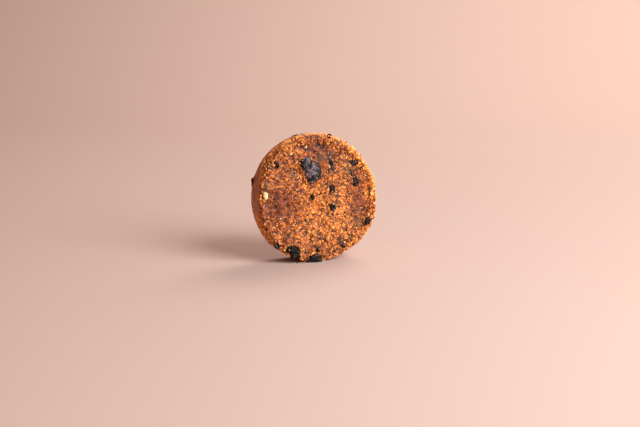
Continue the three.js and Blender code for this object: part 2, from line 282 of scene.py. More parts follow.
CRUST_REACH = (
    # how far behind the face's plane the crust reaches, in mm, at angles counterclockwise from the right
    (-180, 1.2),
    (-172, 3.0),
    (-165, 9.5),
    (-158, 12.0),
    (-130, 13.0),
    (-100, 9.0),
    (-60, 6.0),
    (0, 6.5),
    (45, 7.0),
    (80, 4.0),
    (100, 4.5),
    (115, 8.0),
    (130, 10.0),
    (145, 10.0),
    (152, 6.0),
    (160, 3.0),
    (168, 1.2),
    (180, 1.2),
)
CRUST_WOBBLES = ((0.8, 11, 0), (0.6, 29, 1))  # of that reach: height in mm, waves to a turn, and phase
CRUST_FADE = 2.6 * MM  # width of the soft change from crust to wall
FACE_BAND = 4 * MM  # inside the rim, the band of the face where the crust may end
WALL_BAND = 3 * MM  # inside the rim, the band that browns with the wall


def crust_share(points):
    """1 on the granular crust of the open face and 0 on the smooth wall and base."""
    local = in_cookie_frame(points)
    angle = np.arctan2(local[:, 2], local[:, 0])
    radius = np.hypot(local[:, 0], local[:, 2])
    depth = local[:, 1] + THICKNESS / 2
    wobble = sum(height * MM * np.sin(waves * angle + phase) for height, waves, phase in CRUST_WOBBLES)
    turns, reaches = zip(*CRUST_REACH)
    reach = np.interp(np.degrees(angle), turns, reaches) * MM + wobble
    over_edge = smooth_share(reach - depth, -CRUST_FADE / 2, CRUST_FADE / 2)
    return np.where(radius < FACE_RADIUS - FACE_BAND, (local[:, 1] < 0) * 1.0, over_edge)


BAKED = 0.3  # how browned the crumb is in general
DARKENED_SPOTS = (
    # where the face is coloured darker, or paler where the strength is negative: x, z and reach in mm, and
    # how strongly; the three spots at x 21 to 23, in the valley inside the right rim, are painted shade
    (4, -9, 17, -0.38),
    (14, -16, 10, 0.06),
    (-15, 17, 15, 0.12),
    (3, 21, 12, 0.46),
    (-3, 25, 10, 0.28),
    (-20, -2, 13, 0.68),
    (-18, -18, 10, 0.3),
    (21, -1, 7, 0.6),
    (21, 9, 7, 0.72),
    (23, -9, 8, 0.5),
    (12, 20, 9, 0.16),
    (-2, -26, 8, 0.3),
)
WALL_PALER = 0.7  # how much less browned the wall is
STRIP_SHADE = 0.2  # how much darker the wall is in a strip at the left, next to the face: painted shade
SHADE_STRIP = (4.5, 3.5, 168, 16)  # depth and width of that strip in mm, and its angle and spread in degrees
LIT_LIP = (28.2, 3.6, 20)  # radius and width of the painted light on the top of the lip, in mm, and its middle's angle
LIT_LIP_SPREAD = 48  # degrees to each side of that angle
# how much paler the top of the lip is painted: painted light
LIP_LIGHT = 1.45
STAINS = (
    # buried chocolate that shows through thin crumb: x, z and reach on the face, in mm
    (1.7, 19.3, 3.6),
    (-12.1, 10.8, 2.6),
    (19.4, -7.2, 2.6),
    (19.9, -12.4, 3.0),
    (-1.2, -15.7, 1.8),
    (15.6, 11.4, 3.0),
    (6.5, 7.0, 1.8),
    (6.8, -1.8, 1.8),
    (-26.2, 7.4, 1.8),
)


def spot_share(local, x, z, reach):
    """1 at a spot of the face and 0 past its reach, for places in the cookie's frame."""
    away = np.hypot(local[:, 0] - x * MM, local[:, 2] - z * MM)
    return smooth_share(1.1 * reach * MM - away, 0, reach * MM) * (local[:, 1] < 0)


def browning_and_shading_share(points):
    """How browned the crumb is, with painted shade in the right valley and in a strip of the left wall, and
    painted light on the lip: -0.5 for the palest gold, 1 for dark brown.
    """
    local = in_cookie_frame(points)
    angle = np.degrees(np.arctan2(local[:, 2], local[:, 0]))
    radius = np.hypot(local[:, 0], local[:, 2])
    total = np.full(len(points), BAKED)
    for x, z, reach, strength in DARKENED_SPOTS:
        total += strength * spot_share(local, x, z, reach)
    depth = local[:, 1] + THICKNESS / 2
    # painted shade in a strip of the wall at the left, next to the face
    strip_depth, strip_width, strip_turn, strip_spread = SHADE_STRIP
    across_strip = np.exp(-(((depth / MM - strip_depth) / strip_width) ** 2))
    on_shade_strip = across_strip * np.exp(-(((np.abs(angle) - strip_turn) / strip_spread) ** 2))
    on_wall = smooth_share(depth, 1 * MM, 3.5 * MM)
    wall_change = STRIP_SHADE * on_shade_strip - WALL_PALER * on_wall
    total += np.where(radius > FACE_RADIUS - WALL_BAND, wall_change, 0)
    # painted light on the top of the lip at the right
    middle, width, turn = LIT_LIP
    across_lip = np.exp(-(((radius / MM - middle) / width) ** 2))
    on_lit_lip = across_lip * np.exp(-(((angle - turn) / LIT_LIP_SPREAD) ** 2))
    return np.clip(total - LIP_LIGHT * on_lit_lip, -0.5, 1)


def stained_share(points):
    """1 where buried chocolate shows through the crumb."""
    local = in_cookie_frame(points)
    return np.maximum.reduce([spot_share(local, *stain) for stain in STAINS])


# ---------------------------------------------------------------- shaders


class Shader:
    """A material whose nodes are added and joined by short calls."""

    def __init__(self, name):
        self.material = bpy.data.materials.new(name)
        self.material.use_nodes = True
        self.nodes = self.material.node_tree.nodes
        self.links = self.material.node_tree.links
        self.surface = self.nodes["Principled BSDF"]

    def add(self, kind, inputs=None, **settings):
        """A node with its settings, and with its inputs joined or set."""
        node = self.nodes.new(kind)
        for key, value in settings.items():
            setattr(node, key, value)
        for key, value in (inputs or {}).items():
            self.give(node.inputs[key], value)
        return node

    def give(self, socket, value):
        """Joins a socket to another node's output, or sets it to a constant."""
        if isinstance(value, bpy.types.NodeSocket):
            self.links.new(value, socket)
        else:
            socket.default_value = value

    def cookie_place(self):
        """Object coordinates in the cookie's own frame."""
        coordinates = self.add("ShaderNodeTexCoord")
        return self.add(
            "ShaderNodeMapping",
            {
                "Vector": coordinates.outputs["Object"],
                "Location": TO_COOKIE.translation,
                "Rotation": TO_COOKIE.to_euler(),
            },
        ).outputs["Vector"]

    def noise(self, place, width, detail=3.0, roughness=0.55):
        """Clouds from 0 to 1 whose largest swells are about as wide as the width."""
        return self.add(
            "ShaderNodeTexNoise",
            {"Vector": place, "Scale": 1 / width, "Detail": detail, "Roughness": roughness},
        ).outputs["Fac"]

    def span(self, value, low, high, to_low=0.0, to_high=1.0, smooth=True):
        """The value stretched from one range to another, and held at its ends."""
        return self.add(
            "ShaderNodeMapRange",
            {"Value": value, "From Min": low, "From Max": high, "To Min": to_low, "To Max": to_high},
            interpolation_type="SMOOTHSTEP" if smooth else "LINEAR",
        ).outputs["Result"]

    def pores(self, place, spacing, width):
        """1 in small round pores that lie about as far apart as the spacing."""
        cells = self.add("ShaderNodeTexVoronoi", {"Vector": place, "Scale": 1 / spacing})
        patchy = self.span(self.noise(place, 3 * spacing, detail=1), 0.4, 0.6, 0.35, 1.0)
        width = self.math("MULTIPLY", patchy, width)
        return self.span(self.math("SUBTRACT", cells.outputs["Distance"], width), 0.1, -0.05)

    def mix(self, share, first, second, blend="MIX"):
        """The first colour, with a share of the second mixed in."""
        node = self.add("ShaderNodeMix", data_type="RGBA", blend_type=blend)
        self.give(node.inputs[0], share)
        self.give(node.inputs[6], first)
        self.give(node.inputs[7], second)
        return node.outputs[2]

    def math(self, operation, first, second):
        """The outcome of one operation on two values."""
        node = self.add("ShaderNodeMath", operation=operation)
        self.give(node.inputs[0], first)
        self.give(node.inputs[1], second)
        return node.outputs[0]

    def attribute(self, name):
        """The values that write_attribute gave the piece."""
        return self.add("ShaderNodeAttribute", attribute_name=name).outputs["Fac"]

    def bump(self, height, strength, distance):
        """A fine relief, as seen in the light alone."""
        return self.add(
            "ShaderNodeBump", {"Height": height, "Strength": strength, "Distance": distance}
        ).outputs["Normal"]

    def finish(self, **inputs):
        """The material, its surface given these inputs."""
        for key, value in inputs.items():
            self.give(self.surface.inputs[key.replace("_", " ")], value)
        return self.material


STAIN_COLOUR = srgb(80, 60, 36)
PALE_TINT = (1.7, 1.78, 1.9, 1)  # what the crumb's colour is multiplied by where it is palest, which is where it is least baked and where light is painted on the lip
BROWN_TINT = (0.48, 0.29, 0.25, 1)  # and where it is darkest, which is where it is most baked and where shade is painted


def browning_and_shading_tint(shader, place, colour_now):
    """A colour of the crumb, paler or browner from place to place by its browning and by painted shade and
    light, and stained.
    """
    patches = shader.span(shader.noise(place, 2.6 * MM, detail=2), 0.3, 0.72, -0.16, 0.26)
    browning_and_shading = shader.math("ADD", shader.attribute("browning_and_shading"), patches)
    tint = shader.mix(shader.span(browning_and_shading, -0.5, 1, smooth=False), PALE_TINT, BROWN_TINT)
    tinted = shader.mix(1.0, colour_now, tint, blend="MULTIPLY")
    mottle = shader.span(shader.noise(place, 0.9 * MM, detail=3), 0.35, 0.6, 0.35, 0.95)
    stained = shader.math("MULTIPLY", shader.attribute("stained"), mottle)
    return shader.mix(stained, tinted, STAIN_COLOUR)


def crumb_material(look):
    """Crumb with painted shade in its crevices and painted light on its tops, and smooth and porous on the
    wall.
    """
    shader = Shader("baked_crumb")
    place = shader.cookie_place()
    crust = shader.attribute("crust")
    # the crust's colour follows the relief's height: darker in the crevices as painted shade, paler on the
    # tops as painted light
    rise = shader.span(shader.attribute("rise"), -1.3, 0.25)
    speckle = shader.noise(place, 0.6 * MM, detail=4, roughness=0.7)
    lift = shader.math("ADD", shader.math("MULTIPLY", rise, 0.75), shader.math("MULTIPLY", speckle, 0.4))
    shaded_lower = shader.mix(shader.span(lift, 0.2, 0.6), look.dark[:], look.middle[:])
    crust_colour = shader.mix(shader.span(lift, 0.52, 0.9), shaded_lower, look.light[:])
    crust_colour = browning_and_shading_tint(shader, place, crust_colour)

    patches = shader.span(shader.noise(place, 4 * MM, detail=5, roughness=0.65), 0.35, 0.68)
    wall_colour = shader.mix(patches, look.wall[:], look.wall_dark[:])
    fine = shader.noise(place, 0.7 * MM, detail=4, roughness=0.75)
    wall_colour = shader.mix(shader.span(fine, 0.4, 0.65, 0.0, 0.6), wall_colour, look.wall_dark[:])
    # the pores are darkened with the crevice colour: painted shade in them
    pores = shader.pores(place, 1.5 * MM, 0.2)
    wall_colour = shader.mix(shader.math("MULTIPLY", pores, 0.8), wall_colour, look.dark[:])

    height = shader.math("SUBTRACT", fine, shader.math("MULTIPLY", pores, 1.2))
    return shader.finish(
        Base_Color=shader.mix(crust, browning_and_shading_tint(shader, place, wall_colour), crust_colour),
        Roughness=shader.span(speckle, 0.3, 0.7, 0.45, 0.8),
        Normal=shader.bump(height, 0.9, 0.2 * MM),
        Subsurface_Weight=0.05,
        Subsurface_Radius=(1.0, 0.45, 0.2),
        Subsurface_Scale=0.6 * MM,
        Specular_IOR_Level=0.45,
    )


def chocolate_material(look):
    """Dark chocolate with a soft sheen and patchy pale colour, partly real bloom and partly painted sheen.
    """
    shader = Shader("dark_chocolate")
    place = shader.cookie_place()
    cloud = shader.noise(place, 2.4 * MM, detail=5, roughness=0.6)
    fine = shader.noise(place, 0.45 * MM, detail=4, roughness=0.7)
    # pale patches, partly real bloom and partly painted sheen
    bloom_and_sheen = shader.math("MULTIPLY", shader.span(cloud, 0.47, 0.64), shader.span(fine, 0.42, 0.6))
    bloom_and_sheen = shader.math("MULTIPLY", bloom_and_sheen, shader.attribute("bloom_and_sheen_share"))
    return shader.finish(
        Base_Color=shader.mix(bloom_and_sheen, look.dark[:], look.bloom_and_sheen[:]),
        Roughness=shader.span(fine, 0.35, 0.65, 0.25, 0.5),
        Normal=shader.bump(fine, 0.5, 0.1 * MM),
        Specular_IOR_Level=0.22,
    )


def grain_material(name, dark, light, browning_and_shading=True, **finish):
    """A material that gives each grain its own tone between dark and light."""
    shader = Shader(name)
    place = shader.cookie_place()
    mottle = shader.noise(place, 0.5 * MM, detail=2)
    share = shader.math(
        "ADD", shader.math("MULTIPLY", shader.attribute("tone"), 0.75), shader.math("MULTIPLY", mottle, 0.3)
    )
    colour_now = shader.mix(shader.span(share, 0.1, 0.95), dark, light)
    return shader.finish(
        Base_Color=browning_and_shading_tint(shader, place, colour_now) if browning_and_shading else colour_now,
        Normal=shader.bump(shader.noise(place, 0.3 * MM, detail=3), 0.7, 0.08 * MM),
        **finish,
    )


# ---------------------------------------------------------------- chocolate and nuts

CHOPPED_GROWTH = 0.2 * MM  # a chopped piece is this much larger all round than its node, to fill its pocket
CHIP_WIDTH = 0.5 * MM  # of the small chips in the facets
CHIP_DEPTH = 0.3 * MM
CHOCOLATE_KEPT = 0.12  # share of the fine mesh's faces that are kept, the fewer the sharper
NUT_KEPT = 0.5
NUT_FINENESS = 0.2 * MM
NUT_FACETS = (1.6 * MM, 0.3 * MM)  # width and depth
NUT_TONE = 0.7
# how much pale colour each chunk gets: partly real bloom and partly painted sheen
BLOOM_AND_SHEEN = {
    "chunk_main": 1,
    "chunk_upper_slant": 0.7,
    "chunk_lower_right": 0.8,
    "chunk_low_left": 0,
    "chunk_foot": 0.15,
}
BLOOM_AND_SHEEN_ELSEWHERE = 0.35


def nodes_named(start):
    """The names of the frame's nodes that start with this, in order."""
    return need(sorted(name for name in frame["nodes"] if name.startswith(start)), f"node named {start}")


def chunk_nodes():
    return nodes_named("chunk_")


def nut_nodes():
    return nodes_named("nut_")


def chopped_piece(node, name, fineness, facet_size, facet_depth, kept):
    """A node's block with its flats broken into sharp chopped facets."""
    piece = copy_of_node(node, name)
    apply_modifier(piece, "DISPLACE", strength=CHOPPED_GROWTH, mid_level=0)
    apply_modifier(piece, "REMESH", mode="VOXEL", voxel_size=fineness)
    apply_modifier(piece, "SMOOTH", factor=0.5, iterations=1)
    apply_relief(piece, "CLOUDS", facet_size, facet_depth, noise_type="HARD_NOISE", noise_depth=2)
    apply_relief(piece, "CLOUDS", CHIP_WIDTH, CHIP_DEPTH, noise_depth=1)
    apply_modifier(piece, "DECIMATE", ratio=kept)
    bpy.ops.object.shade_flat()
    return piece


class COOKIE_OT_chocolate(bpy.types.Operator):
    """Chop the chunks of dark chocolate that are set into the cookie"""

    bl_idname = "cookie.chocolate"
    bl_label = "Chop the chocolate"

    def execute(self, context):
        look = context.scene.cookie_chocolate
        material = chocolate_material(look)
        for node in chunk_nodes():
            name = node.replace("chunk_", "chocolate_")
            piece = chopped_piece(
                node, name, look.fineness, look.facet_size, look.facet_depth, CHOCOLATE_KEPT
            )
            bloom_and_sheen_share = BLOOM_AND_SHEEN.get(node, BLOOM_AND_SHEEN_ELSEWHERE)
            write_attribute(piece, "bloom_and_sheen_share", np.full(len(piece.data.vertices), bloom_and_sheen_share))
            piece.data.materials.append(material)
            finish_piece(piece, "chocolate", node)
        return {"FINISHED"}


class COOKIE_OT_nuts(bpy.types.Operator):
    """Chop the bits of nut that are set into the cookie"""

    bl_idname = "cookie.nuts"
    bl_label = "Chop the nuts"

    def execute(self, context):
        look = context.scene.cookie_grains
        material = grain_material(
            "toasted_nut", look.nut[:], look.pale[:], browning_and_shading=False, Roughness=0.5,
            Subsurface_Weight=0.3, Subsurface_Radius=(1.0, 0.6, 0.3), Subsurface_Scale=1.5 * MM,
        )
        for node in nut_nodes():
            name = node.replace("nut_", "toasted_nut_")
            piece = chopped_piece(node, name, NUT_FINENESS, *NUT_FACETS, NUT_KEPT)
            write_attribute(piece, "tone", np.full(len(piece.data.vertices), NUT_TONE))
            piece.data.materials.append(material)
            finish_piece(piece, "nut", node)
        return {"FINISHED"}


# ---------------------------------------------------------------- the baked crumb

CLEARED = 0.9 * MM  # height of crumb taken away over a set-in piece
POCKET_FINENESS = 0.36 * MM
PLUG_GROWTH = 0.35 * MM  # a plug is this much larger all round than its node, to fill the pocket
LOOKS_OUT = (6 * MM, 4 * MM)  # a piece whose middle is this near the rim or a flat side looks out there
REFINED_FROM = 0.02  # share of crust
DOUGH_SMOOTHINGS = 8
CRUST_SMOOTHINGS = 4
CLUMP_MIDDLE = 0.6  # value of the texture that leaves the surface where it is
GRANULE_MIDDLE = 0.75
FINE_RELIEF = (0.5 * MM, 0.4 * MM)  # width and height of the finest relief of the crust
WALL_SWELL = 1.6 * MM  # width of the swells of the wall


def outward_ways(piece):
    """No way and the ways in which a set-in piece looks out of the cookie."""
    low, high = np.min(points_of(piece), 0), np.max(points_of(piece), 0)
    x, y, z = TO_COOKIE @ Vector((low + high) / 2)
    near_rim, near_side = LOOKS_OUT
    ways = [Vector((0, 0, 0))]
    if math.hypot(x, z) > FACE_RADIUS - near_rim:
        ways.append(Vector((x, 0, z)).normalized())
    if abs(y) > THICKNESS / 2 - near_side:
        ways.append(Vector((0, math.copysign(1, y), 0)))
    return [TO_WORLD.to_3x3() @ way for way in ways]


def refine_crust(crumb):
    """Halves the spacing of the mesh where the crust lies."""
    crust = crust_share(points_of(crumb))
    corners = np.empty(len(crumb.data.loops), dtype=np.int32)
    crumb.data.loops.foreach_get("vertex_index", corners)
    starts = np.empty(len(crumb.data.polygons), dtype=np.int32)
    crumb.data.polygons.foreach_get("loop_start", starts)
    chosen = np.maximum.reduceat(crust[corners], starts) > REFINED_FROM
    select_only(crumb)
    bpy.ops.object.mode_set(mode="EDIT")
    bpy.ops.mesh.select_mode(type="FACE")
    bpy.ops.mesh.select_all(action="DESELECT")
    bpy.ops.object.mode_set(mode="OBJECT")
    crumb.data.polygons.foreach_set("select", chosen)
    bpy.ops.object.mode_set(mode="EDIT")
    bpy.ops.mesh.subdivide(number_cuts=1, smoothness=0)
    bpy.ops.object.mode_set(mode="OBJECT")
    apply_modifier(crumb, "SMOOTH", factor=0.5, iterations=CRUST_SMOOTHINGS)


def dough():
    """The crumb joined with plugs that fill its pockets, to be remeshed as one closed surface."""
    base = copy_of_node("crumb", "dough")
    plugs = []
    for node in chunk_nodes() + nut_nodes():
        plug = copy_of_node(node, "plug")
        apply_modifier(plug, "DISPLACE", strength=PLUG_GROWTH, mid_level=0)
        plugs.append(plug)
    select_only(base, *plugs)
    bpy.ops.object.join()
    return base


def cut_pockets(crumb, pieces):
    """Takes the set-in pieces out of the crumb, and the crumb that lies over them."""
    cutters = []
    for piece in pieces:
        for way in outward_ways(piece):
            cutter = copy_of(piece, "cutter")
            cutter.data.transform(Matrix.Translation(way * CLEARED))
            cutters.append(cutter)
    select_only(*cutters)
    bpy.ops.object.join()
    cutter = bpy.context.object
    apply_modifier(cutter, "REMESH", mode="VOXEL", voxel_size=POCKET_FINENESS)
    apply_modifier(crumb, "BOOLEAN", operation="DIFFERENCE", solver="MANIFOLD", object=cutter)
    bpy.data.objects.remove(cutter)
    need(len(crumb.data.polygons), "crumb left round the pockets")


def set_in_pieces():
    """The chopped pieces that are set into the crumb."""
    pieces = [o for o in bpy.data.objects if o.name.startswith(("chocolate_", "toasted_nut_"))]
    return need(pieces, "chopped piece to set in")


class COOKIE_OT_crumb(bpy.types.Operator):
    """Bake the crumb: a craggy granular face, a smooth wall and base, and pockets for what is set in"""

    bl_idname = "cookie.crumb"
    bl_label = "Bake the crumb"

    def execute(self, context):
        look = context.scene.cookie_crumb
        crumb = dough()
        crumb.name = crumb.data.name = "baked_crumb"
        apply_modifier(crumb, "REMESH", mode="VOXEL", voxel_size=look.fineness, use_smooth_shade=True)
        apply_modifier(crumb, "SMOOTH", factor=0.5, iterations=DOUGH_SMOOTHINGS)
        refine_crust(crumb)
        smooth_points = points_of(crumb)
        normals = normals_of(crumb)
        crust = crust_share(smooth_points)
        write_group(crumb, "crust", crust)
        write_group(crumb, "smooth", 1 - crust)
        apply_relief(
            crumb, "CLOUDS", look.clump_size, look.clump_height, CLUMP_MIDDLE, "crust", noise_depth=1
        )
        apply_relief(
            crumb, "VORONOI", look.granule_size, look.granule_height, GRANULE_MIDDLE, "crust",
            weight_1=-1, weight_2=1, noise_intensity=1.4,
        )
        apply_relief(crumb, "CLOUDS", *FINE_RELIEF, group="crust", noise_depth=1)
        apply_relief(crumb, "CLOUDS", WALL_SWELL, look.wall_grain, group="smooth", noise_depth=3)
        rise = np.einsum("ij,ij->i", points_of(crumb) - smooth_points, normals)
        crumb.vertex_groups.clear()
        write_attribute(crumb, "rise", rise / MM)
        write_attribute(crumb, "crust", crust)
        write_attribute(crumb, "browning_and_shading", browning_and_shading_share(smooth_points))
        write_attribute(crumb, "stained", stained_share(smooth_points))
        cut_pockets(crumb, set_in_pieces())
        crumb.data.materials.clear()
        crumb.data.materials.append(crumb_material(look))
        finish_piece(crumb, "crumb", "crumb")
        return {"FINISHED"}


# ---------------------------------------------------------------- loose grains

GRAIN_FLATNESS = 0.75
GRAIN_KNOCKS = 0.2
CRYSTAL_WEAR = 0.14  # width of a crystal's worn edges, for a crystal one unit wide
CRYSTAL_KNOCKS = 0.08
GRAIN_CLEARANCE = 0.2 * MM  # loose grains keep this far from what is set in
GRAIN_DENSITY = 3e6  # grains to a square metre before the spacing thins them out
SUGAR_DENSITY = 6e5
STREWN_DENSITY = 1.5e5
STREWN_SPACING = 1.2 * MM
STREWN_SIZES = (0.3 * MM, 0.9 * MM)
SMALLEST_GRAIN = 0.45  # of the largest one's width
SUGAR_SEED = 20  # added to the seed
STREWN_SEED = 40


def grain_shapes(name, count, seed, material):
    """A few grains about one unit wide, each of two dozen faces and knocked out of round in its own way."""
    shapes = []
    for index in range(count):
        bpy.ops.object.select_all(action="DESELECT")
        bpy.ops.mesh.primitive_cube_add(size=0.62)
        grain = bpy.context.object
        grain.name = grain.data.name = f"{name}_shape_{index}"
        bpy.ops.object.mode_set(mode="EDIT")
        bpy.ops.mesh.subdivide(number_cuts=1, smoothness=0.8)
        bpy.ops.transform.vertex_random(offset=GRAIN_KNOCKS, uniform=0.6, normal=0.4, seed=seed + index)
        bpy.ops.transform.resize(value=(1.1, GRAIN_FLATNESS + 0.2 * (index % 2), GRAIN_FLATNESS))
        bpy.ops.object.mode_set(mode="OBJECT")
        grain.data.materials.append(material)
        shapes.append(grain)
    return shapes


def crystal_shapes(name, count, seed, material):
    """A few sugar crystals about one unit wide: small blocks with worn edges."""
    shapes = []
    for index in range(count):
        bpy.ops.object.select_all(action="DESELECT")
        bpy.ops.mesh.primitive_cube_add(size=0.8)
        crystal = bpy.context.object
        crystal.name = crystal.data.name = f"{name}_shape_{index}"
        bpy.ops.object.mode_set(mode="EDIT")
        bpy.ops.mesh.bevel(offset=CRYSTAL_WEAR, segments=1, affect="EDGES")
        bpy.ops.transform.vertex_random(offset=CRYSTAL_KNOCKS, uniform=1.0, seed=seed + index)
        bpy.ops.object.mode_set(mode="OBJECT")
        crystal.data.materials.append(material)
        shapes.append(crystal)
    return shapes


def scatter_nodes(name, shapes, spacing, density, smallest, largest, sink, seed):
    """Geometry nodes that spread the shapes over a crust and give them back as one real mesh."""
    tree = bpy.data.node_groups.new(name, "GeometryNodeTree")
    tree.interface.new_socket("Geometry", in_out="INPUT", socket_type="NodeSocketGeometry")
    tree.interface.new_socket("Geometry", in_out="OUTPUT", socket_type="NodeSocketGeometry")

    # Some nodes have several sockets of one name, one for each type, so theirs are given by number.
    def add(kind, inputs=None, **settings):
        node = tree.nodes.new(kind)
        for key, value in settings.items():
            setattr(node, key, value)
        for key, value in (inputs or {}).items():
            if isinstance(value, bpy.types.NodeSocket):
                tree.links.new(value, node.inputs[key])
            else:
                node.inputs[key].default_value = value
        return node

    start = add("NodeGroupInput")
    crust = add("GeometryNodeInputNamedAttribute", {"Name": "grain_share"}, data_type="FLOAT")
    points = add(
        "GeometryNodeDistributePointsOnFaces",
        {
            "Mesh": start.outputs[0],
            "Distance Min": spacing,
            "Density Max": density,
            "Density Factor": crust.outputs[0],
            "Seed": seed,
        },
        distribute_method="POISSON",
    )
    sunk = add("ShaderNodeVectorMath", {0: points.outputs["Normal"], "Scale": -sink}, operation="SCALE")
    placed = add(
        "GeometryNodeSetPosition", {"Geometry": points.outputs["Points"], "Offset": sunk.outputs[0]}
    )
    choices = add("GeometryNodeJoinGeometry")
    for shape in reversed(shapes):
        source = add("GeometryNodeObjectInfo", {"Object": shape, "As Instance": True})
        tree.links.new(source.outputs["Geometry"], choices.inputs[0])
    pick = add("FunctionNodeRandomValue", {4: 0, 5: len(shapes) - 1, "Seed": seed + 1}, data_type="INT")
    turn = add("FunctionNodeRandomValue", {1: (math.tau,) * 3, "Seed": seed + 2}, data_type="FLOAT_VECTOR")
    grown = add("FunctionNodeRandomValue", {2: 0.0, 3: 1.0, "Seed": seed + 3}, data_type="FLOAT")
    squared = add("ShaderNodeMath", {0: grown.outputs[1], 1: 1.8}, operation="POWER")
    width = add(
        "ShaderNodeMapRange", {"Value": squared.outputs[0], "To Min": smallest, "To Max": largest}
    )
    grains = add(
        "GeometryNodeInstanceOnPoints",
        {
            "Points": placed.outputs[0],
            "Instance": choices.outputs[0],
            "Pick Instance": True,
            "Instance Index": pick.outputs[2],
            "Rotation": turn.outputs[0],
            "Scale": width.outputs["Result"],
        },
    )
    tone = add("FunctionNodeRandomValue", {2: 0.0, 3: 1.0, "Seed": seed + 4}, data_type="FLOAT")
    toned = add(
        "GeometryNodeStoreNamedAttribute",
        {"Geometry": grains.outputs[0], "Name": "tone", "Value": tone.outputs[1]},
        domain="INSTANCE", data_type="FLOAT",
    )
    real = add("GeometryNodeRealizeInstances", {"Geometry": toned.outputs[0]})
    add("NodeGroupOutput", {0: real.outputs[0]})
    return tree


def clear_of_pieces(points, clearance):
    """1 where a point of the crumb is clear of all set-in pieces and 0 close to one."""
    set_in = np.vstack([points_of(piece) for piece in set_in_pieces()])
    tree = KDTree(len(set_in))
    for index, point in enumerate(set_in):
        tree.insert(point, index)
    tree.balance()
    return np.array([tree.find(point)[2] > clearance for point in points], dtype=float)


def chocolate_tops():
    """The chunks joined, with a share that is 1 where they look out of the cookie."""
    chunks = [piece for piece in set_in_pieces() if piece.name.startswith("chocolate_")]
    copies = [copy_of(piece, "tops") for piece in chunks]
    for piece, twin in zip(chunks, copies):
        ways = np.array(outward_ways(piece)[1:])
        facing = (normals_of(twin) @ ways.T).max(axis=1)
        write_attribute(twin, "facing", smooth_share(facing, 0.5, 0.8))
    select_only(*copies)
    bpy.ops.object.join()
    tops = bpy.context.object
    facing = np.empty(len(tops.data.vertices), dtype=np.float32)
    tops.data.attributes["facing"].data.foreach_get("value", facing)
    return tops, facing


def scatter(name, source, shapes, share, **spread):
    """Spreads shapes over a copy of the source piece, thickest where share is 1, as one piece."""
    piece = copy_of(source, name)
    write_attribute(piece, "grain_share", share)
    tree = scatter_nodes(name, shapes, **spread)
    apply_modifier(piece, "NODES", node_group=tree)
    for shape in shapes:
        bpy.data.objects.remove(shape)
    need(len(piece.data.polygons), f"room for {name}")
    return piece


class COOKIE_OT_grains(bpy.types.Operator):
    """Spread loose grains of crumb and melted sugar over the granular face"""

    bl_idname = "cookie.grains"
    bl_label = "Spread the grains"

    def execute(self, context):
        look = context.scene.cookie_grains
        crumb = bpy.data.objects["baked_crumb"]
        points = points_of(crumb)
        share = crust_share(points) ** 2 * clear_of_pieces(points, GRAIN_CLEARANCE)
        crumb_finish = grain_material(
            "crumb_grain", look.dark[:], look.light[:], Roughness=0.38, Subsurface_Weight=0.06,
            Subsurface_Radius=(1.0, 0.45, 0.2), Subsurface_Scale=0.6 * MM,
        )
        sugar_finish = grain_material(
            "amber_sugar", look.amber[:], look.sugar[:], Roughness=0.28, Subsurface_Weight=0.15,
            Subsurface_Radius=(1.0, 0.6, 0.3), Subsurface_Scale=0.8 * MM, Specular_IOR_Level=0.8,
        )
        grains = scatter(
            "crumb_grains",
            crumb,
            grain_shapes("crumb", 6, look.seed, crumb_finish),
            share,
            spacing=look.crumb_spacing, density=GRAIN_DENSITY, smallest=SMALLEST_GRAIN * look.crumb_size,
            largest=look.crumb_size, sink=0.25 * MM, seed=look.seed,
        )
        finish_piece(grains, "crumb")
        sugar = scatter(
            "sugar_crystals",
            crumb,
            crystal_shapes("sugar", 4, look.seed, sugar_finish),
            share,
            spacing=look.sugar_spacing, density=SUGAR_DENSITY, smallest=SMALLEST_GRAIN * look.sugar_size,
            largest=look.sugar_size, sink=0.0, seed=look.seed + SUGAR_SEED,
        )
        finish_piece(sugar, "crumb")
        tops, facing = chocolate_tops()
        strewn = scatter(
            "crumbs_on_chocolate",
            tops,
            grain_shapes("strewn", 4, look.seed + STREWN_SEED, crumb_finish),
            facing,
            spacing=STREWN_SPACING, density=STREWN_DENSITY, smallest=STREWN_SIZES[0],
            largest=STREWN_SIZES[1], sink=0.08 * MM, seed=look.seed + STREWN_SEED,
        )
        bpy.data.objects.remove(tops)
        finish_piece(strewn, "crumb")
        return {"FINISHED"}


# ---------------------------------------------------------------- specks and pale bits

SPECKS = (
    # crumbs of chocolate on the face: x, z, width and height in mm
    (6.9, -25.2, 1.4, 1.5),
    (-19.4, -16.3, 1.0, 1.6),
    (7.6, 26.8, 1.5, 1.3),
    (-22.0, 10.3, 1.6, 1.4),
    (-26.5, 11.0, 1.2, 1.6),
    (-20.8, -2.2, 1.2, 1.1),
    (-22.9, -8.4, 1.1, 1.3),
    (-20.1, -11.4, 1.2, 1.0),
    (-7.7, 24.9, 1.9, 1.2),
    (-3.3, 25.1, 1.2, 1.5),
    (5.5, 23.2, 1.2, 1.2),
    (-7.2, -24.5, 3.0, 1.2),
    (12.2, 15.4, 1.2, 1.2),
    (21.8, 18.5, 1.3, 1.5),
)
PALE_BITS = (
    # bits of nut on the face, in the same way
    (-5.3, 23.9, 1.7, 1.5),
    (-12.7, 21.1, 1.4, 1.2),
    (22.7, 15.7, 1.3, 1.3),
    (24.0, 9.1, 1.3, 1.0),
    (-19.1, -8.3, 1.0, 0.9),
)
HIDDEN_SPECKS = 34  # on the wall and the base, at seeded places
HIDDEN_PALE_BITS = 7
HIDDEN_WIDTHS = (0.7, 1.7)  # least and greatest width of a hidden speck, in mm
BASE_REACH = 27  # how far from the axis specks lie on the base, in mm
WALL_SPAN = (-4, 6)  # between which depths specks lie on the wall, in mm along the axis
LUMP_DEPTH = 0.7  # of its lesser width
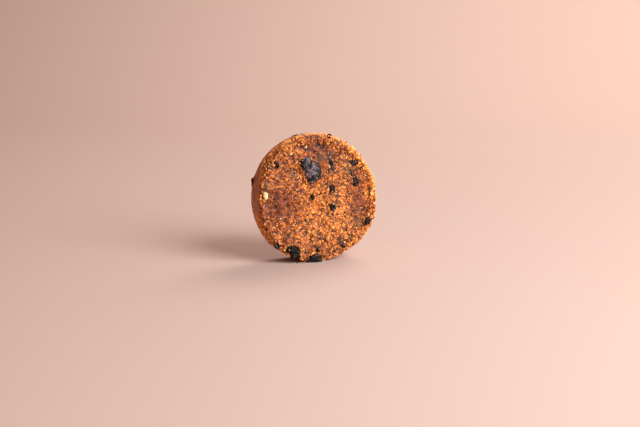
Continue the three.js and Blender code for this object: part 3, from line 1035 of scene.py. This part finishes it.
LUMP_SUNK = 0.22  # of its depth, how far its middle lies under the crumb
LUMP_KNOCKS = 0.16  # of its depth
SPECK_SEED = 3
PALE_BIT_SEED = 90
BEHIND = 20  # well before or behind the cookie, in mm along its axis
BESIDE = 40  # well outside its wall, in mm from the axis


def on_crumb(start, way):
    """The first place of the baked crumb's surface from a start, both in the cookie's frame."""
    crumb = bpy.data.objects["baked_crumb"]
    hit, place, normal, _ = crumb.ray_cast(TO_WORLD @ start, TO_WORLD.to_3x3() @ way)
    if not hit:
        raise RuntimeError("no crumb under a speck")
    return place, normal


def front_places(rows):
    """The places of rows of specks on the face, with their normals, widths and heights."""
    for x, z, width, height in rows:
        place, normal = on_crumb(Vector((x, -BEHIND, z)) * MM, Vector((0, 1, 0)))
        yield place, normal, width * MM, height * MM


def hidden_places(count, seed):
    """Seeded places on the base and the wall by turns, in the same way."""
    chance = np.random.default_rng(seed)
    for index in range(count):
        angle = chance.uniform(0, math.tau)
        outward = Vector((math.cos(angle), 0, math.sin(angle)))
        if index % 2:
            away = BASE_REACH * math.sqrt(chance.uniform(0, 1))
            start = outward * away + Vector((0, BEHIND, 0))
            way = Vector((0, -1, 0))
        else:
            start = outward * BESIDE + Vector((0, chance.uniform(*WALL_SPAN), 0))
            way = -outward
        place, normal = on_crumb(start * MM, way)
        yield place, normal, chance.uniform(*HIDDEN_WIDTHS) * MM, chance.uniform(*HIDDEN_WIDTHS) * MM


def add_lumps(name, places, material, seed):
    """Small rough lumps half sunk into the crumb, as one piece."""
    lumps = []
    for index, (place, normal, width, height) in enumerate(places):
        deep = LUMP_DEPTH * min(width, height)
        bpy.ops.object.select_all(action="DESELECT")
        bpy.ops.mesh.primitive_ico_sphere_add(
            subdivisions=2,
            radius=0.5,
            location=place - normal * LUMP_SUNK * deep,
            rotation=normal.to_track_quat("Z", "Y").to_euler(),
            scale=(width, height, deep),
        )
        lump = bpy.context.object
        bpy.ops.object.transform_apply(location=True, rotation=True, scale=True)
        bpy.ops.object.mode_set(mode="EDIT")
        bpy.ops.transform.vertex_random(
            offset=LUMP_KNOCKS * deep, uniform=0.6, normal=0.4, seed=seed + index
        )
        bpy.ops.object.mode_set(mode="OBJECT")
        lumps.append(lump)
    select_only(*lumps)
    bpy.ops.object.join()
    piece = bpy.context.object
    bpy.ops.object.shade_smooth()
    piece.name = piece.data.name = name
    chance = np.random.default_rng(seed)
    each = len(piece.data.vertices) // len(lumps)
    write_attribute(piece, "tone", np.repeat(chance.uniform(0.3, 1, len(lumps)), each))
    piece.data.materials.append(material)
    return piece


class COOKIE_OT_specks(bpy.types.Operator):
    """Press crumbs of chocolate and pale bits of nut into the crumb"""

    bl_idname = "cookie.specks"
    bl_label = "Press in the specks"

    def execute(self, context):
        look = context.scene.cookie_grains
        chocolate, nut = (bpy.data.materials[name] for name in ("dark_chocolate", "toasted_nut"))
        dark = [*front_places(SPECKS), *hidden_places(HIDDEN_SPECKS, look.seed)]
        finish_piece(add_lumps("chocolate_specks", dark, chocolate, SPECK_SEED), "chocolate")
        pale = [*front_places(PALE_BITS), *hidden_places(HIDDEN_PALE_BITS, look.seed + 1)]
        finish_piece(add_lumps("pale_bits", pale, nut, PALE_BIT_SEED), "nut")
        return {"FINISHED"}


# ---------------------------------------------------------------- stage

PIXEL = 60 * MM / 128  # size of one pixel of the picture, at the cookie
PICTURE = (640, 427)
COOKIE_PIXEL = (313.5, 196.9)  # where the cookie's centre lies in the picture
LENS = 85  # millimetres, on a sensor 36 mm wide
SENSOR = 36
FLOOR_SIZE = 8  # metres
SWEEP_START = 0.45  # metres behind the cookie, where the floor begins to rise
SWEEP_RADIUS = 0.45
SWEEP_STEPS = 16
LIGHTS = (
    # name, turn and rise in degrees, distance and width in metres, power in watts, and tint
    ("key", 40, 32, 0.9, 0.6, 13.8, (0.97, 1, 1)),
    ("back", -60, 40, 1.1, 0.7, 12, (1, 0.93, 0.87)),
    ("wash", 0, 12, 1.6, 1.2, 6, (1, 0.95, 0.9)),
)
STUDIO_TINT = (1, 0.6, 0.47, 1)  # of the faint light from all round
STUDIO_STRENGTH = 0.26


class COOKIE_OT_stage(bpy.types.Operator):
    """Set up the pale floor that sweeps up at the back, the soft lights and the camera"""

    bl_idname = "cookie.stage"
    bl_label = "Set the stage"

    def toward(self, turn, rise):
        """A direction turned from the picture's right toward its front and raised, in degrees."""
        turn, rise = self.turn + math.radians(turn), math.radians(rise)
        return Vector((math.cos(turn) * math.cos(rise), -math.sin(turn) * math.cos(rise), math.sin(rise)))

    def add_floor(self, colour):
        behind = self.toward(-90, 0)
        bpy.ops.mesh.primitive_plane_add(
            size=FLOOR_SIZE, location=behind * (SWEEP_START - FLOOR_SIZE / 2), rotation=(0, 0, -self.turn)
        )
        floor = bpy.context.object
        floor.name = floor.data.name = "floor"
        bpy.ops.object.transform_apply(location=True, rotation=True)
        for vertex in floor.data.vertices:
            vertex.select = vertex.co.dot(behind) > 0
        bpy.ops.object.mode_set(mode="EDIT")
        bpy.ops.mesh.select_mode(type="EDGE")
        bpy.ops.mesh.spin(
            steps=SWEEP_STEPS,
            angle=-math.pi / 2,
            center=behind * SWEEP_START + Vector((0, 0, SWEEP_RADIUS)),
            axis=self.toward(0, 0),
        )
        bpy.ops.mesh.extrude_region_move(TRANSFORM_OT_translate={"value": (0, 0, FLOOR_SIZE / 3)})
        bpy.ops.mesh.select_all(action="SELECT")
        bpy.ops.mesh.remove_doubles(threshold=0.01 * MM)
        bpy.ops.mesh.normals_make_consistent(inside=False)
        bpy.ops.object.mode_set(mode="OBJECT")
        bpy.ops.object.shade_smooth()
        shader = Shader("floor")
        floor.data.materials.append(shader.finish(Base_Color=colour, Roughness=0.9, Specular_IOR_Level=0.2))

    def add_light(self, name, direction, distance, width, power, tint):
        bpy.ops.object.light_add(type="AREA", location=CENTRE + direction * distance)
        lamp = bpy.context.object
        lamp.name = name
        lamp.rotation_euler = (-direction).to_track_quat("-Z", "Y").to_euler()
        lamp.data.size = width
        lamp.data.energy = power
        lamp.data.color = tint

    def add_camera(self, rise):
        back = self.toward(90, math.degrees(rise))
        rotation = (-back).to_track_quat("-Z", "Y")
        right, up = rotation @ Vector((1, 0, 0)), rotation @ Vector((0, 1, 0))
        distance = LENS / SENSOR * PICTURE[0] * PIXEL
        across = (COOKIE_PIXEL[0] - PICTURE[0] / 2) * PIXEL
        above = (PICTURE[1] / 2 - COOKIE_PIXEL[1]) * PIXEL
        place = CENTRE + back * distance - right * across - up * above
        bpy.ops.object.camera_add(location=place, rotation=rotation.to_euler())
        camera = bpy.context.object
        camera.data.lens = LENS
        camera.data.sensor_width = SENSOR
        bpy.context.scene.camera = camera

    def execute(self, context):
        look = context.scene.cookie_stage
        self.turn = look.camera_turn
        self.add_floor(look.floor[:])
        self.add_camera(look.camera_height)
        for name, turn, rise, distance, width, power, tint in LIGHTS:
            self.add_light(name, self.toward(turn, rise), distance, width, power, tint)
        world = bpy.data.worlds.new("studio")
        world.use_nodes = True
        background = world.node_tree.nodes["Background"]
        background.inputs["Color"].default_value = STUDIO_TINT
        background.inputs["Strength"].default_value = STUDIO_STRENGTH
        context.scene.world = world
        context.scene.view_settings.view_transform = "Standard"
        return {"FINISHED"}


# ---------------------------------------------------------------- panel and registration

STEPS = (
    COOKIE_OT_chocolate,
    COOKIE_OT_nuts,
    COOKIE_OT_crumb,
    COOKIE_OT_grains,
    COOKIE_OT_specks,
    COOKIE_OT_stage,
)
SETTINGS = {
    "cookie_crumb": CookieCrumbSettings,
    "cookie_chocolate": CookieChocolateSettings,
    "cookie_grains": CookieGrainSettings,
    "cookie_stage": CookieStageSettings,
}


class COOKIE_PT_panel(bpy.types.Panel):
    """Lists the cookie's steps and settings in the 3D view's sidebar"""

    bl_label = "Cookie"
    bl_space_type = "VIEW_3D"
    bl_region_type = "UI"
    bl_category = "Cookie"

    def draw(self, context):
        for step in STEPS:
            self.layout.operator(step.bl_idname)
        for name, group in SETTINGS.items():
            box = self.layout.box()
            for key in group.__annotations__:
                box.prop(getattr(context.scene, name), key)


def register():
    for group in SETTINGS.values():
        bpy.utils.register_class(group)
    for name, group in SETTINGS.items():
        setattr(bpy.types.Scene, name, PointerProperty(type=group))
    for step in (*STEPS, COOKIE_PT_panel):
        bpy.utils.register_class(step)


def unregister():
    for step in (COOKIE_PT_panel, *reversed(STEPS)):
        bpy.utils.unregister_class(step)
    for name in SETTINGS:
        delattr(bpy.types.Scene, name)
    for group in SETTINGS.values():
        bpy.utils.unregister_class(group)


def main():
    register()
    bpy.ops.cookie.chocolate()
    bpy.ops.cookie.nuts()
    bpy.ops.cookie.crumb()
    bpy.ops.cookie.grains()
    bpy.ops.cookie.specks()
    bpy.ops.cookie.stage()


if __name__ == "__main__":
    main()
